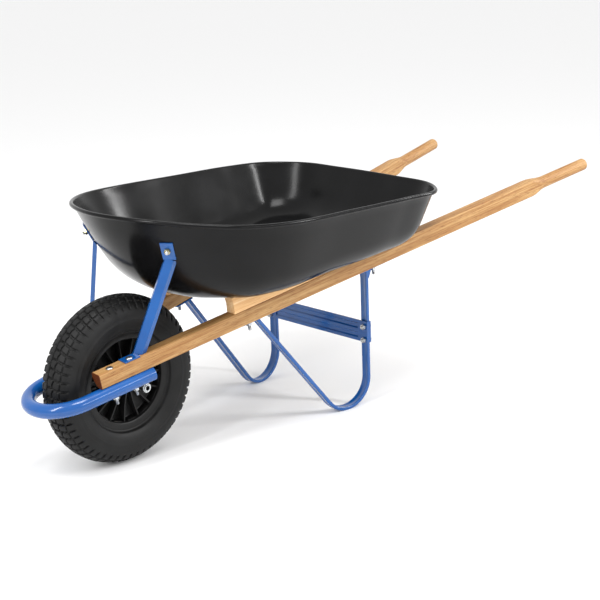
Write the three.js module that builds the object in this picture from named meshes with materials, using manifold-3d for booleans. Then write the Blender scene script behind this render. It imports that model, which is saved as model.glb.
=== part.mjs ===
// Steel-tray wheelbarrow on wooden handles, in millimetres.
// X points forwards to the wheel, Y to the left of the person pushing, Z up from the floor.
// The origin lies on the floor under the middle of the barrow. One group is moved forwards
// so that inside it every length is counted from the point under the axle.
import * as THREE from "three";
import { mergeVertices } from "three/addons/utils/BufferGeometryUtils.js";
import Module from "manifold-3d";

const wasm = await Module();
wasm.setup();

const rad = THREE.MathUtils.degToRad;

// Driving dimensions.
const AXLE_X = 597.5;
const GAP = 0.3;

const WHEEL = {
  radius: 200,
  halfWidth: 50,
  rimLip: 118,
  rimHalf: 34,
  barrel: 106,
  hub: 24,
  hubHalf: 44,
  ribs: 15,
};
const AXLE = { radius: 7.9, bore: 5.5, half: 109 };
const BEARING = { radius: 17, length: 12, clearance: 0.4 };
const SPACER = { radius: 12, end: 87.6 };
const TUBE = { middle: 147, halfHeight: 35, halfWidth: 37, wall: 3 };
const VALVE = { y: 12, radius: 4, base: 111, seat: 109, inner: 89, cap: 77 };

const HANDLE = {
  front: new THREE.Vector3(117.5, 79.7, 241.9),
  slope: rad(9.7),
  toe: rad(7.19),
  width: 35,
  low: -17.5,
  topFront: 17.5,
  topRise: 6.5,
  riseEnd: 900,
  shoulder: 1411,
  end: 1588,
  gripRadius: 16.2,
  gripLift: 3,
};
const WEDGE = { start: 373, end: 835, hollow: 2.5 };

const LOOP = { radius: 88, centre: 148, level: 228.7, offset: 10.5, tail: 138, tube: 17, wall: 2, ramp: 26 };
const STRAP = { width: 18, thickness: 3, lat: 3.5, top: -48.3, front: 18, ring: 10.9, outerFace: 106 };

const LEG = { width: 25, thickness: 9, inward: 5, vertical: -773.2, radius: 71.5, footCut: 0.8 };
const LEG_DIAGONAL = { topX: -446, topZ: 284, kink: rad(-45.2), blend: 14 };
const LEG_TAB = { thickness: 3.2, extra: 2, front: 393, frontEnd: 450, rear: 757, rearEnd: 838, web: 22 };
const CROSS = {
  back: -643.9,
  thickness: 2.6,
  low: 165,
  high: 220.5,
  groove: 3,
  flange: 11,
  boltLat: 4,
  boltHeights: [206, 171],
};

const BRACE = { width: 30, depth: 10, plate: 2.6, place: 0.0690, drop: 68.3, tabUp: 21, tabDown: 27 };
const BRACE_FOOT = { front: 70, rear: 110, lat: 1.5 };

const TRAY = {
  sheet: 1.6,
  bead: 5,
  lean: 0.41,
  floorZ: 366.5,
  floorX: -241,
  floorSlope: 0.0975,
  middle: -430,
  columns: 48,
};
const BOLT = { shank: 3.9, head: 8.5, dome: 3.6, nut: 7.4, nutHeight: 6.4, end: 5, longEnd: 13 };
const PLACES = { loopBolt: 35, footBolt: 88, legFront: 416, legRear: 805 };

const FINISH = {
  tray: { color: 0x262626, roughness: 0.45, metalness: 0.3 },
  blue: { color: 0x1f57ab, roughness: 0.3, metalness: 0.2 },
  ash: { color: 0xcf9e63, roughness: 0.6, metalness: 0 },
  pine: { color: 0xf0c48c, roughness: 0.65, metalness: 0 },
  zinc: { color: 0xb9bcbd, roughness: 0.35, metalness: 1 },
  rubber: { color: 0x1d1d1d, roughness: 0.8, metalness: 0 },
  plastic: { color: 0x1a1a1a, roughness: 0.5, metalness: 0 },
};

// ---- Solids: joining, cutting and mirroring closed meshes --------------------------------

function toSolid(geometry) {
  const bare = geometry.clone();
  bare.deleteAttribute("normal");
  bare.deleteAttribute("uv");
  const merged = mergeVertices(bare, 1e-3);
  const index = merged.getIndex().array;
  const kept = [];
  for (let i = 0; i < index.length; i += 3) {
    const [a, b, c] = [index[i], index[i + 1], index[i + 2]];
    if (a !== b && b !== c && c !== a) kept.push(a, b, c);
  }
  const mesh = new wasm.Mesh({
    numProp: 3,
    vertProperties: new Float32Array(merged.getAttribute("position").array),
    triVerts: new Uint32Array(kept),
  });
  return new wasm.Manifold(mesh);
}

function toGeometry(solid) {
  const mesh = solid.getMesh();
  const geometry = new THREE.BufferGeometry();
  geometry.setAttribute("position", new THREE.BufferAttribute(new Float32Array(mesh.vertProperties), 3));
  geometry.setIndex(new THREE.BufferAttribute(new Uint32Array(mesh.triVerts), 1));
  return geometry;
}

function join(...geometries) {
  return toGeometry(geometries.map(toSolid).reduce((whole, next) => whole.add(next)));
}

function cut(geometry, ...tools) {
  return toGeometry(tools.map(toSolid).reduce((whole, tool) => whole.subtract(tool), toSolid(geometry)));
}

function common(a, b) {
  return toGeometry(toSolid(a).intersect(toSolid(b)));
}

// The right-hand twin of a left-hand piece, with its faces still pointing out.
function mirrored(geometry) {
  const copy = geometry.clone();
  copy.scale(1, -1, 1);
  const index = copy.getIndex().array;
  for (let i = 0; i < index.length; i += 3) [index[i], index[i + 1]] = [index[i + 1], index[i]];
  return copy;
}

const flip = new THREE.Matrix4().makeScale(1, -1, 1);
const mirroredFrame = (frame) => flip.clone().multiply(frame).multiply(flip);

// ---- Simple shapes -----------------------------------------------------------------------

function box(x0, x1, y0, y1, z0, z1) {
  const geometry = new THREE.BoxGeometry(x1 - x0, y1 - y0, z1 - z0);
  return geometry.translate((x0 + x1) / 2, (y0 + y1) / 2, (z0 + z1) / 2);
}

function outline(points) {
  return new THREE.Shape(points.map(([x, y]) => new THREE.Vector2(x, y)));
}

// An outline in the XZ plane given a thickness along Y, with its edges bevelled.
function slab(shape, thickness, bevel = 0) {
  const geometry = new THREE.ExtrudeGeometry(shape, {
    depth: thickness - 2 * bevel,
    curveSegments: 8,
    bevelEnabled: bevel > 0,
    bevelThickness: bevel,
    bevelSize: bevel,
    bevelOffset: -bevel,
    bevelSegments: 1,
  });
  return geometry.rotateX(Math.PI / 2).translate(0, thickness / 2 - bevel, 0);
}

// A body of revolution about Y from [radius, height] points: open on the axis or a closed ring.
function revolve(profile, segments, ring = false) {
  const points = profile.map(([r, y]) => new THREE.Vector2(r, y));
  if (ring) points.push(points[0].clone());
  return new THREE.LatheGeometry(points, segments);
}

function frameAlong(origin, zAxis) {
  const turn = new THREE.Quaternion().setFromUnitVectors(new THREE.Vector3(0, 0, 1), zAxis);
  return new THREE.Matrix4().makeRotationFromQuaternion(turn).setPosition(origin);
}

// A frame at origin whose z axis is z and whose x axis is as near to x as it can be.
function frameFrom(origin, x, z) {
  const y = new THREE.Vector3().crossVectors(z, x).normalize();
  const squareX = new THREE.Vector3().crossVectors(y, z);
  return new THREE.Matrix4().makeBasis(squareX, y, z).setPosition(origin);
}

function into(frame, geometry) {
  return geometry.clone().applyMatrix4(frame.clone().invert());
}

// A plane path that a section can follow in space.
class CarriedPath extends THREE.Curve {
  constructor(path, carry) {
    super();
    this.path = path;
    this.carry = carry;
  }

  getPoint(t) {
    return this.carry(this.path.getPointAt(t));
  }
}

// ---- Frames ------------------------------------------------------------------------------

// Left handle: x forwards along the wood from its front end, y to the left, z square to it.
const handleFrame = new THREE.Matrix4()
  .makeRotationFromEuler(new THREE.Euler(0, HANDLE.slope, -HANDLE.toe, "ZYX"))
  .setPosition(HANDLE.front);

// Left leg: in line with the handle as seen from above, but upright and standing on the floor.
const legFrame = new THREE.Matrix4().makeRotationZ(-HANDLE.toe)
  .setPosition(HANDLE.front.x, HANDLE.front.y, 0)
  .multiply(new THREE.Matrix4().makeTranslation(0, -LEG.inward, 0));

// Wheel guard loop: the sloping plane of its tube.
const loopSlope = Math.atan(Math.tan(HANDLE.slope) / Math.cos(HANDLE.toe));
const loopFrame = new THREE.Matrix4().makeRotationY(loopSlope).setPosition(0, 0, LOOP.level);

const handlePoint = (along, lat, height) => new THREE.Vector3(-along, lat, height).applyMatrix4(handleFrame);
const handleUp = new THREE.Vector3(0, 0, 1).transformDirection(handleFrame);

// Height of the handle's top over its line: the wood grows deeper up to riseEnd.
function handleTop(along) {
  return HANDLE.topFront + (HANDLE.topRise * Math.min(along, HANDLE.riseEnd)) / HANDLE.riseEnd;
}

// ---- Tray surface ------------------------------------------------------------------------

// Left half of the line of the rolled rim, from the middle of the front to the middle of the back.
const RIM_LINE = [
  [38, 0, 597], [6, 122, 593], [-66, 222, 583], [-157, 292, 573], [-272, 325, 565.5], [-450, 329, 560.5],
  [-640, 328, 556], [-761, 311, 551], [-835, 222, 548.5], [-843, 105, 549], [-844, 0, 549.5],
];
const rimLeft = RIM_LINE.map(([x, y, z]) => new THREE.Vector3(x, y, z));
const rimRight = rimLeft.slice(1, -1).reverse().map((p) => new THREE.Vector3(p.x, -p.y, p.z));
const rimCurve = new THREE.CatmullRomCurve3([...rimLeft, ...rimRight], true, "centripetal");

const floorAt = (x) => TRAY.floorZ + (TRAY.floorX - x) * TRAY.floorSlope;

// One upright line of the wall: where it starts on the rim, and which way is out.
function wallLine(place) {
  const rim = rimCurve.getPointAt(place);
  const tangent = rimCurve.getTangentAt(place);
  const outward = new THREE.Vector3(tangent.y, -tangent.x, 0).normalize();
  const frontness = Math.max(0, outward.x);
  const bow = 0.001 * frontness ** 1.5;
  return { rim, outward, lean: TRAY.lean, bow, fillet: 62 + 50 * frontness ** 0.7 };
}

// The wall at a depth below the rim's middle, on its outer face or, a sheet further in, its inner one.
function wallPoint({ rim, outward, lean, bow }, depth, skin = 0) {
  const inset = TRAY.bead - TRAY.sheet + skin + lean * depth + bow * depth * depth;
  return rim.clone().addScaledVector(outward, -inset).setZ(rim.z - depth);
}

function wallDepth(line, skin) {
  let depth = line.rim.z - floorAt(line.rim.x) - skin;
  for (let i = 0; i < 12; i += 1) depth = line.rim.z - floorAt(wallPoint(line, depth, skin).x) - skin;
  return depth;
}

// ---- Bolts: each is a line through the pieces that it clamps -------------------------------

const floorPlane = new THREE.Plane().setFromCoplanarPoints(
  new THREE.Vector3(0, 0, floorAt(0)),
  new THREE.Vector3(0, 100, floorAt(0)),
  new THREE.Vector3(-100, 0, floorAt(-100)),
);

// Height of the underside of the tray's floor over the handle's centre line.
function floorOver(along) {
  const ray = new THREE.Ray(handlePoint(along, 0, 0), handleUp);
  return Math.abs(ray.distanceToPlane(floorPlane) ?? ray.distanceToPlane(floorPlane.clone().negate()));
}

const braceLine = wallLine(BRACE.place);
const braceCentre = wallPoint(braceLine, BRACE.drop);
const braceLean = braceLine.lean + 2 * braceLine.bow * BRACE.drop;
const braceNormal = braceLine.outward.clone().setZ(-braceLean).normalize();

function handleBolt(along, lat, top, low) {
  return {
    seat: handlePoint(along, lat, top),
    axis: handleUp.clone().negate(),
    grip: top - low,
    end: BOLT.longEnd,
  };
}

const strapLow = STRAP.top - STRAP.thickness - GAP;
const tabLow = HANDLE.low - LEG_TAB.thickness - 2 * GAP;
const onFloor = (along) => floorOver(along) + TRAY.sheet + 1.1;
const footDeck = handleTop(BRACE_FOOT.rear) + GAP;
const crossFront = CROSS.back + CROSS.thickness;

// The cross brace's bolts go forwards: heads behind the leg, nuts in front of the brace.
function crossBolt(height) {
  const grip = CROSS.thickness + LEG.thickness + 5.4;
  const seat = new THREE.Vector3(LEG.vertical, CROSS.boltLat, height).applyMatrix4(legFrame);
  seat.setX(crossFront + GAP - grip);
  return { seat, axis: new THREE.Vector3(1, 0, 0), grip };
}

const LEFT_BOLTS = {
  loop_bolt: handleBolt(PLACES.loopBolt, STRAP.lat, handleTop(PLACES.loopBolt) + GAP + 0.1, strapLow),
  brace_foot_bolt: handleBolt(PLACES.footBolt, STRAP.lat, footDeck + BRACE.plate + GAP, strapLow),
  leg_front_bolt: handleBolt(PLACES.legFront, 0, onFloor(PLACES.legFront), tabLow),
  leg_rear_bolt: handleBolt(PLACES.legRear, 0, onFloor(PLACES.legRear), tabLow),
  tray_bolt: {
    seat: braceCentre.clone().addScaledVector(braceNormal, -TRAY.sheet - 1.9),
    axis: braceNormal,
    grip: TRAY.sheet + BRACE.plate + 1.9 + 2 * GAP,
  },
  cross_upper_bolt: crossBolt(CROSS.boltHeights[0]),
  cross_lower_bolt: crossBolt(CROSS.boltHeights[1]),
};

// The holes for the left side's bolts, as round bars in the barrow's frame.
const leftDrills = Object.values(LEFT_BOLTS).map(({ seat, axis, grip }) => {
  const radius = BOLT.shank + GAP;
  const bar = new THREE.CylinderGeometry(radius, radius, grip + 24, 9).rotateX(Math.PI / 2);
  return bar.translate(0, 0, grip / 2).applyMatrix4(frameAlong(seat, axis));
});

function drilled(geometry, frame) {
  return cut(geometry, ...leftDrills.map((drill) => into(frame, drill)));
}

function drilledBothSides(geometry, frame = new THREE.Matrix4()) {
  const all = [...leftDrills, ...leftDrills.map(mirrored)];
  return cut(geometry, ...all.map((drill) => into(frame, drill)));
}

// Carriage bolt along z: the dome ends the negative side, the shank runs up z.
function boltGeometry(grip, end = BOLT.end) {
  const { shank, head, dome, nutHeight } = BOLT;
  const length = grip + nutHeight + end;
  return revolve([
    [0, -dome], [head * 0.62, -dome * 0.8], [head, -1], [head, 0], [shank, 0], [shank, length - 0.8],
    [shank - 0.8, length], [0, length],
  ], 9).rotateX(Math.PI / 2);
}

function nutGeometry() {
  const { nut, nutHeight, shank } = BOLT;
  const hexagon = new THREE.CylinderGeometry(nut, nut, nutHeight, 6).rotateX(Math.PI / 2);
  const hole = new THREE.CylinderGeometry(shank + GAP, shank + GAP, 2 * nutHeight, 9).rotateX(Math.PI / 2);
  return cut(hexagon, hole);
}

// ---- Tray ----------------------------------------------------------------------------------

// A closed skin through a ring of profiles, which all start and end on the same two points.
function ringSkin(profiles) {
  const rows = profiles[0].length;
  const index = [];
  profiles.forEach((profile, i) => {
    const next = (i + 1) % profiles.length;
    for (let j = 0; j < rows - 1; j += 1) {
      const [a, b] = [i * rows + j, next * rows + j];
      index.push(a, b, b + 1, a, b + 1, a + 1);
    }
  });
  const geometry = new THREE.BufferGeometry().setFromPoints(profiles.flat());
  geometry.setIndex(index);
  return toGeometry(toSolid(geometry));
}

// From the middle of the floor, across it, round the fillet and up the wall.
function traySide(line, skin) {
  const lift = skin > 0 ? TRAY.sheet : 0;
  const depth = wallDepth(line, lift);
  const corner = wallPoint(line, depth, skin);
  const middle = new THREE.Vector3(TRAY.middle, 0, floorAt(TRAY.middle) + lift);
  const flat = corner.clone().addScaledVector(middle.clone().sub(corner).setZ(0).normalize(), line.fillet);
  flat.z = floorAt(flat.x) + lift;
  const bendTop = wallPoint(line, depth - line.fillet * 0.9, skin);
  const bend = new THREE.QuadraticBezierCurve3(flat, corner, bendTop);
  const upper = [0.55, 0.25].map((part) => wallPoint(line, depth * part, skin));
  return [middle, ...bend.getPoints(3), ...upper];
}

function trayGeometry() {
  const { bead, sheet, columns } = TRAY;
  const first = -Math.PI + Math.acos((bead - sheet) / bead);
  const turns = 5;
  const profiles = Array.from({ length: columns }, (_, i) => {
    const line = wallLine(i / columns);
    const roll = Array.from({ length: turns + 1 }, (_, k) => {
      const angle = first + ((Math.PI - first) * k) / turns;
      const point = line.rim.clone().addScaledVector(line.outward, bead * Math.cos(angle));
      return point.setZ(line.rim.z + bead * Math.sin(angle));
    });
    return [...traySide(line, 0), ...roll, ...traySide(line, sheet).reverse()];
  });
  return drilledBothSides(ringSkin(profiles));
}

// ---- Wood ----------------------------------------------------------------------------------

function handleGeometry() {
  const { width, low, shoulder, riseEnd, end, gripRadius, gripLift } = HANDLE;
  const blank = slab(outline([
    [0, low], [0, handleTop(0)], [-riseEnd, handleTop(riseEnd)], [-shoulder - 8, handleTop(shoulder)],
    [-shoulder - 8, low],
  ]), width, 3.5);
  const taper = revolve([
    [0, 0], [gripRadius + 0.6, 0], [gripRadius + 4, 22], [gripRadius + 14, 80],
    [60, 130], [60, end], [0, end],
  ], 24).rotateZ(-Math.PI / 2).translate(-shoulder - 8, 0, gripLift);
  const rounding = 27;
  const waste = cut(
    box(-46, 1, -width / 2 - 1, rounding - width / 2, low - 1, low + rounding),
    new THREE.CylinderGeometry(rounding, rounding, 200, 32).rotateZ(Math.PI / 2)
      .translate(-20, rounding - width / 2, low + rounding),
  );
  const gripLength = end - shoulder + 20;
  const grip = revolve([
    [0, 0], [gripRadius * 0.55, 0.6], [gripRadius * 0.85, 3], [gripRadius, 8],
    [gripRadius, gripLength], [0, gripLength],
  ], 24).rotateZ(-Math.PI / 2).translate(-end, 0, gripLift);
  return drilled(join(cut(common(blank, taper), waste), grip), handleFrame);
}

function wedgeGeometry() {
  const { start, end, hollow } = WEDGE;
  const foot = (along) => handleTop(along) + GAP;
  const roof = (along) => floorOver(along) - 0.6;
  const middle = (foot(start) + roof(start)) / 2;
  const side = outline([
    [-start, foot(start)], [-start - hollow, middle], [-start, roof(start)],
    [-end, roof(end)], [-end, foot(end)],
  ]);
  return drilled(slab(side, HANDLE.width - 1), handleFrame);
}

// ---- Wheel guard loop and axle straps --------------------------------------------------------

// Where the tube runs under a handle its top is pressed flat, and where the strap lies its underside too.
function pressed(geometry, thickness) {
  const top = HANDLE.low - GAP - thickness;
  const low = STRAP.top + GAP + thickness;
  const position = geometry.getAttribute("position");
  const toHandle = loopFrame.clone().premultiply(handleFrame.clone().invert());
  for (let i = 0; i < position.count; i += 1) {
    const p = new THREE.Vector3().fromBufferAttribute(position, i);
    const side = Math.sign(p.y) || 1;
    const local = p.clone().setY(p.y * side).applyMatrix4(toHandle);
    const free = THREE.MathUtils.smoothstep(local.x, 4, 4 + LOOP.ramp) * 6;
    if (local.x > LOOP.ramp * 2) continue;
    local.z = THREE.MathUtils.clamp(local.z, low - free, top + free);
    local.applyMatrix4(toHandle.clone().invert());
    position.setXYZ(i, local.x, local.y * side, local.z);
  }
  return geometry;
}

function loopGeometry() {
  const { radius, centre, offset, tail, tube, wall } = LOOP;
  const { front, toe } = HANDLE;
  const lineY = (x) => front.y + offset / Math.cos(toe) + (front.x - x) * Math.tan(toe);
  const backX = front.x - tail;
  const path = new THREE.Path();
  path.moveTo(backX, lineY(backX));
  path.lineTo(centre + radius * Math.sin(toe), radius * Math.cos(toe));
  path.absarc(centre, 0, radius, Math.PI / 2 - toe, toe - Math.PI / 2, true);
  path.lineTo(backX, -lineY(backX));
  const curve = new CarriedPath(path, (p) => new THREE.Vector3(p.x, p.y, 0));
  const sweep = (size) => new THREE.ExtrudeGeometry(new THREE.Shape().absarc(0, 0, size, 0, 2 * Math.PI), {
    steps: 34, curveSegments: 6, extrudePath: curve,
  });
  const tailCut = box(backX - 60, backX + 1.5, -200, 200, -80, 80);
  const shell = cut(pressed(sweep(tube), 0), pressed(sweep(tube - wall), wall), tailCut);
  return drilledBothSides(shell, loopFrame);
}

function strapGeometry() {
  const { width, thickness, lat, top, front, ring, outerFace } = STRAP;
  const eyeMiddle = new THREE.Vector3(0, outerFace - width / 2, WHEEL.radius);
  const aroundAxle = (radius, length) => into(
    handleFrame, new THREE.CylinderGeometry(radius, radius, length, 24).translate(...eyeMiddle.toArray()),
  );
  const eye = eyeMiddle.clone().applyMatrix4(handleFrame.clone().invert());
  const plate = box(eye.x - 1, -front, lat - width / 2, lat + width / 2, top - thickness, top);
  const body = join(plate, aroundAxle(ring, width));
  const over = box(eye.x - 30, 0, -60, 60, top, top + 40);
  return drilled(cut(body, over, aroundAxle(AXLE.radius + GAP, 3 * width)), handleFrame);
}

// ---- Legs and cross brace ----------------------------------------------------------------------

function roundedSection(width, height, radius) {
  const [w, h] = [width / 2 - radius, height / 2 - radius];
  const shape = new THREE.Shape();
  [[w, h], [-w, h], [-w, -h], [w, -h]].forEach(([x, y], k) => {
    shape.absarc(x, y, radius, (k * Math.PI) / 2, ((k + 1) * Math.PI) / 2);
  });
  shape.closePath();
  return shape;
}

// A point under or over the handle, in the leg's upright plane.
function legPoint(along, height) {
  const { slope, front } = HANDLE;
  const x = height * Math.sin(slope) - along * Math.cos(slope);
  return [x, front.z + along * Math.sin(slope) + height * Math.cos(slope)];
}

function legGeometry() {
  const { width, thickness, vertical, radius, footCut } = LEG;
  const { topX, topZ, kink, blend } = LEG_DIAGONAL;
  const footX = vertical + radius;
  const centreZ = radius + thickness / 2 - footCut;
  const footCentre = new THREE.Vector2(footX, centreZ);
  const middle = new THREE.Vector2();
  const onArc = (angle) => new THREE.Vector2(radius, 0).rotateAround(middle, angle).add(footCentre);
  const top = new THREE.Vector2(topX, topZ);
  const corner = onArc(kink);
  const start = corner.clone().lerp(top, blend / corner.distanceTo(top));
  const arcStart = kink - blend / radius;
  const path = new THREE.Path();
  path.moveTo(...top.clone().lerp(corner, -0.12).toArray());
  path.lineTo(...start.toArray());
  path.quadraticCurveTo(corner.x, corner.y, ...onArc(arcStart).toArray());
  path.absarc(footX, centreZ, radius, arcStart, -Math.PI, true);
  path.lineTo(vertical, 380);
  const curve = new CarriedPath(path, (p) => new THREE.Vector3(p.x, 0, p.y));
  const run = new THREE.ExtrudeGeometry(roundedSection(width, thickness, 2.5), {
    steps: 36, curveSegments: 1, extrudePath: curve,
  });
  const low = HANDLE.low - GAP;
  const above = box(-1100, -300, -60, 60, low - 0.5, low + 120).applyMatrix4(handleFrame);
  const below = box(-1100, 0, -60, 60, -30, 0);
  const { front, frontEnd, rear, rearEnd, web, extra } = LEG_TAB;
  const under = low - LEG_TAB.thickness;
  const [webRear, webFront] = [796, 766].map((along) => legPoint(along, under)[1]);
  const frontTab = slab(outline([
    legPoint(front, low), legPoint(frontEnd, low), legPoint(frontEnd, under), legPoint(front, under),
  ]), width + extra);
  const rearTab = slab(outline([
    legPoint(rear, low), legPoint(rearEnd, low), legPoint(rearEnd, under),
    [vertical - thickness / 2 - 8, webRear], [vertical - thickness / 2, webRear - web],
    [vertical + thickness / 2 - 1, webRear - web], [vertical + thickness / 2 - 1, webFront],
    legPoint(rear, under),
  ]), width + extra);
  const leg = join(cut(run, into(legFrame, above), below), frontTab, rearTab);
  return drilled(leg, legFrame);
}

function crossBraceGeometry() {
  const { back, thickness, low, high, groove, flange } = CROSS;
  const section = [
    [0, 0], [0.14, 0], [0.2, groove], [0.36, groove], [0.42, 0],
    [0.58, 0], [0.64, groove], [0.8, groove], [0.86, 0], [1, 0],
  ];
  const line = (x) => section.map(([part, sink]) => [x - sink, low + part * (high - low)]);
  const flangeIn = LEG.width / 2 + GAP;
  const flangeFront = LEG.vertical + LEG.thickness / 2 + 1.2;
  const tip = new THREE.Vector3(flangeFront, flangeIn + thickness, 0).applyMatrix4(legFrame);
  const inner = new THREE.Vector3(flangeFront, -flangeIn - 4, 0).applyMatrix4(legFrame);
  const web = slab(outline([...line(back + thickness), ...line(back).reverse()]), 2 * inner.y);
  const ends = [1, -1].map((side) => {
    const y = [side * (inner.y - 1), side * tip.y].sort((a, b) => a - b);
    return box(back, back + thickness, y[0], y[1], low, high);
  });
  const wrap = box(flangeFront - flange, flangeFront, flangeIn, flangeIn + thickness, low, high);
  wrap.applyMatrix4(legFrame);
  return drilledBothSides(join(web, ...ends, wrap, mirrored(wrap)));
}

// ---- Front braces --------------------------------------------------------------------------------

function braceGeometry() {
  const { width, depth, plate, tabUp, tabDown } = BRACE;
  const { front, rear, lat } = BRACE_FOOT;
  const w = width / 2;
  const section = outline([
    [-w, -depth], [-w + plate, -depth], [-9, -plate], [9, -plate],
    [w - plate, -depth], [w, -depth], [10, 0], [-10, 0],
  ]);
  const across = new THREE.Vector3().crossVectors(new THREE.Vector3(0, 0, 1), braceNormal).normalize();
  const tabFrame = frameFrom(braceCentre, across, braceNormal);
  const tab = box(-w, w, -tabDown, tabUp, GAP, GAP + plate).applyMatrix4(tabFrame);
  const fold = new THREE.Vector3(0, -tabDown + 1.5, GAP + plate).applyMatrix4(tabFrame);
  const heel = handlePoint(rear + 3, lat, footDeck + plate);
  const way = new THREE.Vector3().subVectors(heel, fold);
  const length = way.length();
  way.normalize();
  const strut = new THREE.ExtrudeGeometry(section, { depth: length + 6, bevelEnabled: false });
  strut.applyMatrix4(frameFrom(fold, across, way));
  const foot = box(-rear, -front, lat - w, lat + w, footDeck, footDeck + plate);
  const underDeck = box(-300, 60, -90, 90, footDeck - 60, footDeck).applyMatrix4(handleFrame);
  const behindTab = box(-90, 90, -70, 60, -60, GAP).applyMatrix4(tabFrame);
  const body = join(tab, strut, foot.applyMatrix4(handleFrame));
  return drilled(cut(body, underDeck, behindTab), new THREE.Matrix4());
}

// ---- Wheel -----------------------------------------------------------------------------------------

// The closed ring whose profile is the given half and its mirror image in the wheel's middle plane.
const bothHalves = (half) => [...half.map(([r, y]) => [r, -y]), ...half.slice().reverse()];

function tyreGeometry() {
  const { radius, halfWidth, rimLip, rimHalf, barrel } = WHEEL;
  const bead = barrel + GAP + 0.2;
  const inside = [[188, 8], [180, 28], [160, 43], [138, 41.5], [122, 31], [bead, 20]];
  const outside = [
    [bead, rimHalf - 3.4], [rimLip + 0.6, rimHalf - 3.4], [rimLip + 0.6, rimHalf + 1], [126, 44],
    [140, halfWidth - 1], [152, halfWidth], [168, halfWidth - 2.5], [183, 40], [195, 24], [radius, 8],
  ];
  return revolve(bothHalves([...inside, ...outside]), 40, true);
}

function ovalRing(shrink, sides) {
  return revolve(Array.from({ length: sides }, (_, k) => {
    const angle = (2 * Math.PI * k) / sides;
    const [height, width] = [TUBE.halfHeight - shrink, TUBE.halfWidth - shrink];
    return [TUBE.middle + height * Math.cos(angle), width * Math.sin(angle)];
  }), 24, true);
}

const radialBar = (radius, from, to) => new THREE.CylinderGeometry(radius, radius, to - from, 10)
  .rotateZ(-Math.PI / 2).translate((from + to) / 2, VALVE.y, 0);

function innerTubeGeometry() {
  return cut(ovalRing(0, 10), ovalRing(TUBE.wall, 10), radialBar(2.5, 100, 135));
}

function rimGeometry() {
  const { rimLip, rimHalf, barrel, hub, hubHalf, ribs } = WHEEL;
  const pocket = BEARING.radius + GAP;
  const core = AXLE.radius + 3;
  const inside = barrel - 7.5;
  const finEnd = inside + 2;
  const half = [
    [core, hubHalf - BEARING.length], [pocket, hubHalf - BEARING.length], [pocket, hubHalf], [hub, hubHalf],
    [hub, 8], [hub + 6, 3], [inside, 3], [inside + 1, rimHalf - 6], [inside + 4, rimHalf - 2],
    [rimLip - 5, rimHalf], [rimLip, rimHalf], [rimLip, rimHalf - 3], [barrel, rimHalf - 3],
    [barrel, 15], [barrel - 3.5, 9],
  ];
  const body = revolve(bothHalves(half), 30, true);
  const fin = new THREE.ExtrudeGeometry(outline([
    [hub - 2, 32], [finEnd, 25], [finEnd, -25], [hub - 2, -32],
  ]), { depth: 3.2, bevelEnabled: false }).translate(0, 0, -1.6);
  const fins = Array.from({ length: ribs }, (_, k) => fin.clone().rotateY((2 * Math.PI * (k + 0.5)) / ribs));
  return cut(join(body, ...fins), radialBar(VALVE.radius + 0.6, 60, barrel + 2));
}

function valveStemGeometry() {
  const { radius, base, seat, inner } = VALVE;
  return join(radialBar(radius, inner, base), radialBar(radius + 2, seat - 2, base));
}

function valveCapGeometry() {
  const { radius, inner, cap } = VALVE;
  return radialBar(radius + 0.8, cap, inner - GAP);
}

function sleeve(outer, inner, from, to) {
  return revolve([[inner, from], [outer, from], [outer, to], [inner, to]], 24, true);
}

// ---- Group -----------------------------------------------------------------------------------------

const barrow = new THREE.Group();
barrow.position.x = AXLE_X;

function add(name, geometry, finish, frame = new THREE.Matrix4()) {
  const mesh = new THREE.Mesh(geometry, new THREE.MeshStandardMaterial(FINISH[finish]));
  mesh.name = name;
  mesh.applyMatrix4(frame);
  barrow.add(mesh);
}

function addPair(name, geometry, finish, frame = new THREE.Matrix4()) {
  add(`${name}_left`, geometry, finish, frame);
  add(`${name}_right`, mirrored(geometry), finish, mirroredFrame(frame));
}

add("tray", trayGeometry(), "tray");
addPair("handle", handleGeometry(), "ash", handleFrame);
addPair("wedge", wedgeGeometry(), "pine", handleFrame);
add("front_loop", loopGeometry(), "blue", loopFrame);
addPair("axle_strap", strapGeometry(), "zinc", handleFrame);
addPair("front_brace", braceGeometry(), "blue");
addPair("leg", legGeometry(), "blue", legFrame);
add("cross_brace", crossBraceGeometry(), "blue");
for (const [name, { seat, axis, grip, end }] of Object.entries(LEFT_BOLTS)) {
  const seatFrame = frameAlong(seat, axis);
  const nutFrame = frameAlong(seat.clone().addScaledVector(axis, grip + BOLT.nutHeight / 2), axis);
  addPair(name, boltGeometry(grip, end), "zinc", seatFrame);
  addPair(name.replace("bolt", "nut"), nutGeometry(), "zinc", nutFrame);
}

const hubFrame = new THREE.Matrix4().makeTranslation(0, 0, WHEEL.radius);
const { hubHalf } = WHEEL;
const bearingEnd = hubHalf + GAP;
const spacer = sleeve(SPACER.radius, AXLE.radius + GAP, bearingEnd + GAP, SPACER.end);
const bearingBore = AXLE.radius + BEARING.clearance;
const bearing = sleeve(BEARING.radius, bearingBore, bearingEnd - BEARING.length, bearingEnd);
add("axle", sleeve(AXLE.radius, AXLE.bore, -AXLE.half, AXLE.half), "zinc", hubFrame);
addPair("spacer", spacer, "plastic", hubFrame);
addPair("bearing", bearing, "zinc", hubFrame);
add("tyre", tyreGeometry(), "rubber", hubFrame);
add("inner_tube", innerTubeGeometry(), "rubber", hubFrame);
add("rim", rimGeometry(), "plastic", hubFrame);
add("valve_stem", valveStemGeometry(), "rubber", hubFrame);
add("valve_cap", valveCapGeometry(), "plastic", hubFrame);

export default barrow;
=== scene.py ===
"""Looks of the steel-tray wheelbarrow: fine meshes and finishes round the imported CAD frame.

Lengths are millimetres counted from the floor point under the axle, X forwards and Y to the
pusher's left, and PLACE carries them into the frame's metres.
"""
import math

import bmesh
import bpy
import numpy as np
from mathutils import Matrix, Vector


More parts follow.
